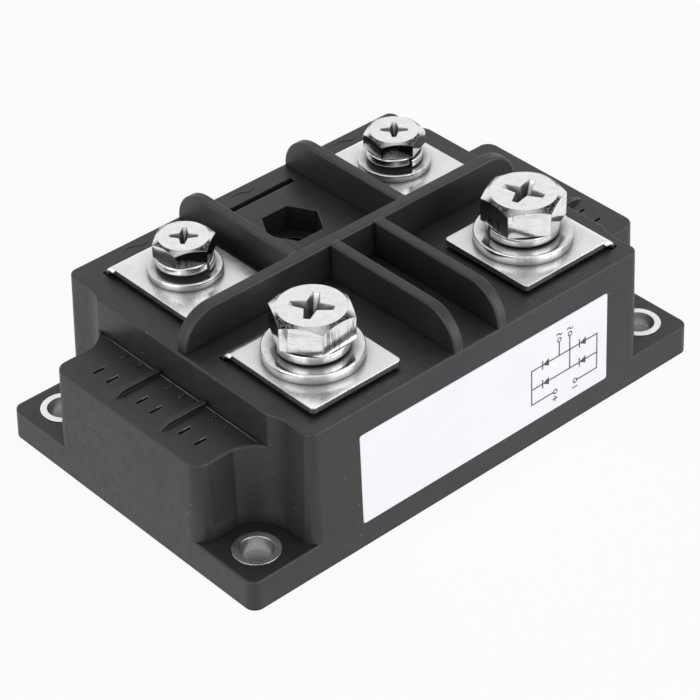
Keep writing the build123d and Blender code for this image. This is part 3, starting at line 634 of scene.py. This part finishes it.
# Circuit of a single-phase bridge, printed on the label: x and z of its points in millimetres
UPPER, LOWER = 15.9, 11.9
LEFT_RAIL, RIGHT_RAIL = 11.65, 27.9
DIODES = ((15.15, UPPER), (24.3, UPPER), (15.15, LOWER), (24.3, LOWER))
DIODE_LENGTH, DIODE_HEIGHT = 1.5, 1.6
BAR_OFFSET, BAR_HEIGHT = 0.8, 1.5
PLUS_ROW, MINUS_ROW = 8.7, 8.5
TERMINAL_RINGS = ((17.45, PLUS_ROW), (22.45, MINUS_ROW), (18.47, 19.2), (21.07, 19.25))
RING_RADIUS = 0.42
SIGN_ROW, WAVE_ROW = 7.2, 20.4
RING_LINE, BAR_LINE, SIGN_LINE, WAVE_LINE = 0.2, 0.28, 0.24, 0.22
circuit = bmesh.new()
for line in (
    [(LEFT_RAIL, UPPER), (RIGHT_RAIL, UPPER)],
    [(LEFT_RAIL, LOWER), (RIGHT_RAIL, LOWER)],
    [(LEFT_RAIL, UPPER), (LEFT_RAIL, PLUS_ROW), (17.0, PLUS_ROW)],
    [(RIGHT_RAIL, UPPER), (RIGHT_RAIL, MINUS_ROW), (22.9, MINUS_ROW)],
    [(18.45, 18.75), (18.45, UPPER)],
    [(21.05, 18.85), (21.05, LOWER)],
):
    print_stroke(circuit, line, PRINT_LINE)
for centre in TERMINAL_RINGS:
    print_stroke(circuit, circle(centre, RING_RADIUS, 16), RING_LINE)
for x, z in DIODES:
    tip, foot, bar = x - DIODE_LENGTH / 2, x + DIODE_LENGTH / 2, x - BAR_OFFSET
    print_area(circuit, [(tip, z), (foot, z - DIODE_HEIGHT / 2), (foot, z + DIODE_HEIGHT / 2)])
    print_stroke(circuit, [(bar, z - BAR_HEIGHT / 2), (bar, z + BAR_HEIGHT / 2)], BAR_LINE)
for line in (
    [(16.9, SIGN_ROW), (17.95, SIGN_ROW)],
    [(17.43, SIGN_ROW - 0.5), (17.43, SIGN_ROW + 0.5)],
    [(21.85, SIGN_ROW), (22.9, SIGN_ROW)],
):
    print_stroke(circuit, line, SIGN_LINE)
for x in (18.5, 21.1):
    print_stroke(circuit, wave(x, WAVE_ROW, 1.3, 0.2, 8), WAVE_LINE)
add_piece("circuit_print", to_mesh("circuit_print", circuit), print_ink)


def close_rings(shape, rings):
    """Join rings of points to a closed skin with flat ends."""
    for first, second in zip(rings, rings[1:]):
        for k in range(len(first)):
            j = (k + 1) % len(first)
            shape.faces.new((first[k], first[j], second[j], second[k]))
    shape.faces.new(rings[0])
    shape.faces.new(rings[-1])


# Relief marks moulded on the housing: half-round beads that follow a line on a level surface.
# The profile gives shares of the bead's half width and of its height.
BEAD_PROFILE = ((-0.9, 0.45), (-0.5, 0.9), (0, 1), (0.5, 0.9), (0.9, 0.45))
END_WIDTH_SHARE = 0.55
END_HEIGHT_SHARE = 0.4


def mark_bead(shape, points, level, width, height):
    """Add a raised line with a rounded top through points at a level."""
    rings = []
    last = len(points) - 1
    for i, (x, y) in enumerate(points):
        along = (Vector(points[min(i + 1, last)]) - Vector(points[max(i - 1, 0)])).normalized()
        across = Vector((-along.y, along.x))
        reach = width / 2 * (END_WIDTH_SHARE if i in (0, last) else 1.0)
        tall = height * (END_HEIGHT_SHARE if i in (0, last) else 1.0)
        over = [(side, tall * share) for side, share in BEAD_PROFILE]
        ring = []
        for side, rise in [(-1, -MARK_SINK), *over, (1, -MARK_SINK)]:
            spot = Vector((x, y)) + across * side * reach
            ring.append(shape.verts.new(Vector((spot.x, spot.y, level + rise)) * MM))
        rings.append(ring)
    close_rings(shape, rings)


# Signs beside the terminals: three waves at the rear, plus and then minus at the front
REAR_SIGN_ROW, FRONT_SIGN_ROW = 30.0, -29.9
signs = bmesh.new()
for x in (-24.6, 0.0, 25.2):
    mark_bead(signs, wave(x, REAR_SIGN_ROW, 5.4, 0.55, 20), PLATEAU_TOP, MARK_WIDTH, MARK_HEIGHT)
for start, end in (
    ((-25.2, FRONT_SIGN_ROW), (-23.0, FRONT_SIGN_ROW)),
    ((-24.1, FRONT_SIGN_ROW - 1.0), (-24.1, FRONT_SIGN_ROW + 1.0)),
    ((23.9, FRONT_SIGN_ROW), (26.1, FRONT_SIGN_ROW)),
):
    mark_bead(signs, straight(start, end, 4), PLATEAU_TOP, MARK_WIDTH, MARK_HEIGHT)
add_piece("terminal_signs", to_mesh("terminal_signs", signs), polyester)

# Thin pale bead along both end shelves, just out of the block's foot: a painted highlight of the light line
# along the crease
CREASE_LINE_X, CREASE_LINE_FRONT, CREASE_LINE_REAR = 39.95, -20.4, 19.8
CREASE_LINE_WIDTH, CREASE_LINE_HEIGHT = 0.14, 0.06
crease_highlights = bmesh.new()
for x in (-CREASE_LINE_X, CREASE_LINE_X):
    mark_bead(crease_highlights, straight((x, CREASE_LINE_FRONT), (x, CREASE_LINE_REAR), 8), SHELF_TOP, CREASE_LINE_WIDTH, CREASE_LINE_HEIGHT)
add_piece("shelf_crease_highlights", to_mesh("shelf_crease_highlights", crease_highlights), pale_highlight_polyester)

# Pale bead along one side of each blind slot, a little longer or shorter from slot to slot: a painted
# highlight of the slot's lit edge
SLOT_ROWS = (12.9, 9.4, 1.4, -2.2, -9.8, -13.8)
LIP_NEAR, LIP_FAR, LIP_STEP = 45.1, 46.3, 0.3
LIP_WIDTH, LIP_HEIGHT = 0.2, 0.08
lip_highlights = bmesh.new()
for side in (-1, 1):
    for i, row in enumerate(SLOT_ROWS):
        far = LIP_FAR + LIP_STEP * (2 * i % 3)
        edge = straight((side * far, row + 0.27), (side * LIP_NEAR, row + 0.33), 4)
        mark_bead(lip_highlights, edge, SHELF_TOP, LIP_WIDTH, LIP_HEIGHT)
add_piece("slot_lip_highlights", to_mesh("slot_lip_highlights", lip_highlights), pale_highlight_polyester)


# Bulge that bending leaves at both side edges of each terminal strip. It follows the bend from
# just before its start to just before its end, in degrees, and thins at both ends.
BULGE_TURN = range(100, 0, -12)
END_GIRTH_SHARE = 0.6


def bend_bulge(shape, spot, along, side):
    """Add the bulge at one side edge. Spot is below the bend's start, along runs to the upright part."""
    rings = []
    for degrees in BULGE_TURN:
        angle = radians(degrees)
        outward = Vector((along[0] * cos(angle), along[1] * cos(angle), sin(angle)))
        middle = Vector((spot[0], spot[1], STRIP_MIDDLE - BEND_RADIUS)) + outward * BEND_RADIUS
        girth = BULGE_RADIUS * (END_GIRTH_SHARE if degrees in (BULGE_TURN[0], BULGE_TURN[-1]) else 1.0)
        turns = [2 * pi * k / 12 for k in range(12)]
        spokes = [girth * (cos(t) * Vector(side) + sin(t) * outward) for t in turns]
        rings.append([shape.verts.new((middle + spoke) * MM) for spoke in spokes])
    close_rings(shape, rings)


# Middle of each strip, its upright part, and how far from the middle the bulges sit
AC_1_BEND = (-24.7, 26.7, 8.65)
AC_2_BEND = (24.7, 26.7, 8.65)
PLUS_BEND = (-24.9, -6.1, 9.7)
MINUS_BEND = (-18.0, 35.6, 10.05)
bulges = bmesh.new()
for middle, riser, reach in (AC_1_BEND, AC_2_BEND, PLUS_BEND):
    for way in (-1, 1):
        bend_bulge(bulges, (middle + way * reach, riser - BEND_RADIUS), (0, 1), (way, 0, 0))
middle, riser, reach = MINUS_BEND
for way in (-1, 1):
    bend_bulge(bulges, (riser - BEND_RADIUS, middle + way * reach), (1, 0), (0, way, 0))
add_piece("bend_bulges", to_mesh("bend_bulges", bulges), strip_nickel)


# Numerals one to six beside the blind slots of both end shelves
NUMERAL_X = 41.4
NUMERAL_ROWS = (13.0, 9.25, 1.2, -2.2, -10.4, -13.8)
DIGIT_SHARE_OF_FONT = 0.7


def raised_numeral(name, digit, place, reading):
    """A raised digit whose reading direction is the given turn about Z."""
    curve = bpy.data.curves.new(name, "FONT")
    curve.body = digit
    curve.size = NUMERAL_HEIGHT / DIGIT_SHARE_OF_FONT * MM
    curve.extrude = (MARK_HEIGHT + MARK_SINK) / 2 * MM
    curve.resolution_u = 3
    curve.align_x = "CENTER"
    curve.align_y = "CENTER"
    mesh = bpy.data.meshes.new_from_object(bpy.data.objects.new(name, curve))
    lift = SHELF_TOP + (MARK_HEIGHT - MARK_SINK) / 2
    spot = Matrix.Translation(Vector((place[0], place[1], lift)) * MM)
    mesh.transform(spot @ Matrix.Rotation(radians(reading), 4, "Z"))
    mesh.name = name
    add_piece(name, mesh, polyester)


for i, row in enumerate(NUMERAL_ROWS):
    raised_numeral("numeral_left_%d" % (i + 1), str(i + 1), (-NUMERAL_X, row), -90)
    raised_numeral("numeral_right_%d" % (i + 1), str(6 - i), (NUMERAL_X, row), 90)


# Camera of the photograph: place in millimetres, focal length in widths of the image
CAMERA_PLACE = (-257.40, -290.96, 298.71)
FOCAL_WIDTHS = 2711.2 / 700
SENSOR_WIDTH = 36.0
azimuth, elevation, roll = radians(-41.349), radians(36.705), radians(-1.361)
back = Vector((sin(azimuth) * cos(elevation), -cos(azimuth) * cos(elevation), sin(elevation)))
right = Vector((cos(azimuth), sin(azimuth), 0))
up = back.cross(right)
tilted_right = cos(roll) * right + sin(roll) * up
tilted_up = -sin(roll) * right + cos(roll) * up
camera_data = bpy.data.cameras.new("camera")
camera_data.sensor_width = SENSOR_WIDTH
camera_data.lens = FOCAL_WIDTHS * SENSOR_WIDTH
camera_data.clip_start = 0.01
camera = bpy.data.objects.new("camera", camera_data)
bpy.context.scene.collection.objects.link(camera)
axes = Matrix((tilted_right, tilted_up, back)).transposed().to_4x4()
camera.matrix_world = Matrix.Translation(Vector(CAMERA_PLACE) * MM) @ axes
bpy.context.scene.camera = camera


bpy.context.scene.view_settings.view_transform = "Standard"


# White room: plain white behind the module and in its reflections, softer as a light
ROOM_LIGHT = 0.40
world = bpy.data.worlds.new("white_room")
world.use_nodes = True
bpy.context.scene.world = world
sky = world.node_tree
sky.nodes.clear()
ray = add(sky, "LightPath")
seen = add(
    sky, "Math",
    {"operation": "MAXIMUM"},
    {0: ray.outputs["Is Camera Ray"], 1: ray.outputs["Is Glossy Ray"]},
)
seen_all = add(
    sky, "Math",
    {"operation": "MAXIMUM"},
    {0: seen.outputs[0], 1: ray.outputs["Is Transmission Ray"]},
)
strength = add(sky, "MapRange", {"To Min": ROOM_LIGHT, "To Max": 1.0}, {"Value": seen_all.outputs[0]})
room = add(sky, "Background", {"Color": (1, 1, 1, 1)}, {"Strength": strength.outputs["Result"]})
add(sky, "OutputWorld", links={"Surface": room.outputs[0]})

# Floor: pale sheet, white to the camera and in reflections, that keeps the module's soft shadow
FLOOR_REACH = 1.5
FLOOR_DROP = 0.02
PLAIN_WHITE_SHARE = 0.93
corners = [(x * FLOOR_REACH, y * FLOOR_REACH, 0) for x, y in ((-1, -1), (1, -1), (1, 1), (-1, 1))]
floor_mesh = bpy.data.meshes.new("floor")
floor_mesh.from_pydata(corners, [], [(0, 1, 2, 3)])
floor = bpy.data.objects.new("floor", floor_mesh)
floor.location.z = -FLOOR_DROP * MM
bpy.context.scene.collection.objects.link(floor)
sheet, sheet_tree = start_material("white_sheet")
sheet_ray = add(sheet_tree, "LightPath")
direct = add(
    sheet_tree, "Math",
    {"operation": "MULTIPLY", 1: PLAIN_WHITE_SHARE},
    {0: sheet_ray.outputs["Is Camera Ray"]},
)
mirrored = add(
    sheet_tree, "Math",
    {"operation": "MAXIMUM"},
    {0: sheet_ray.outputs["Is Glossy Ray"], 1: sheet_ray.outputs["Is Transmission Ray"]},
)
share = add(
    sheet_tree, "Math",
    {"operation": "MAXIMUM"},
    {0: direct.outputs[0], 1: mirrored.outputs[0]},
)
matt = add(sheet_tree, "BsdfDiffuse", {"Color": linear("#f2f2f2")})
glow = add(sheet_tree, "Emission", {"Color": (1, 1, 1, 1), "Strength": 1.0})
blend = add(
    sheet_tree, "MixShader",
    links={0: share.outputs[0], 1: matt.outputs[0], 2: glow.outputs[0]},
)
add(sheet_tree, "OutputMaterial", links={"Surface": blend.outputs[0]})
floor_mesh.materials.append(sheet)


# Soft boxes, aimed at the middle of the module
AIM = Vector((0, 0, 0.02))


def soft_box(name, place, size, watts):
    data = bpy.data.lights.new(name, "AREA")
    data.shape = "SQUARE"
    data.size = size
    data.energy = watts
    lamp = bpy.data.objects.new(name, data)
    bpy.context.scene.collection.objects.link(lamp)
    lamp.location = place
    lamp.rotation_euler = (AIM - Vector(place)).to_track_quat("-Z", "Y").to_euler()


soft_box("front_box", place=(0.35, -0.95, 0.30), size=1.1, watts=8.4)
soft_box("left_box", place=(-1.0, -0.1, 0.30), size=0.9, watts=5.5)
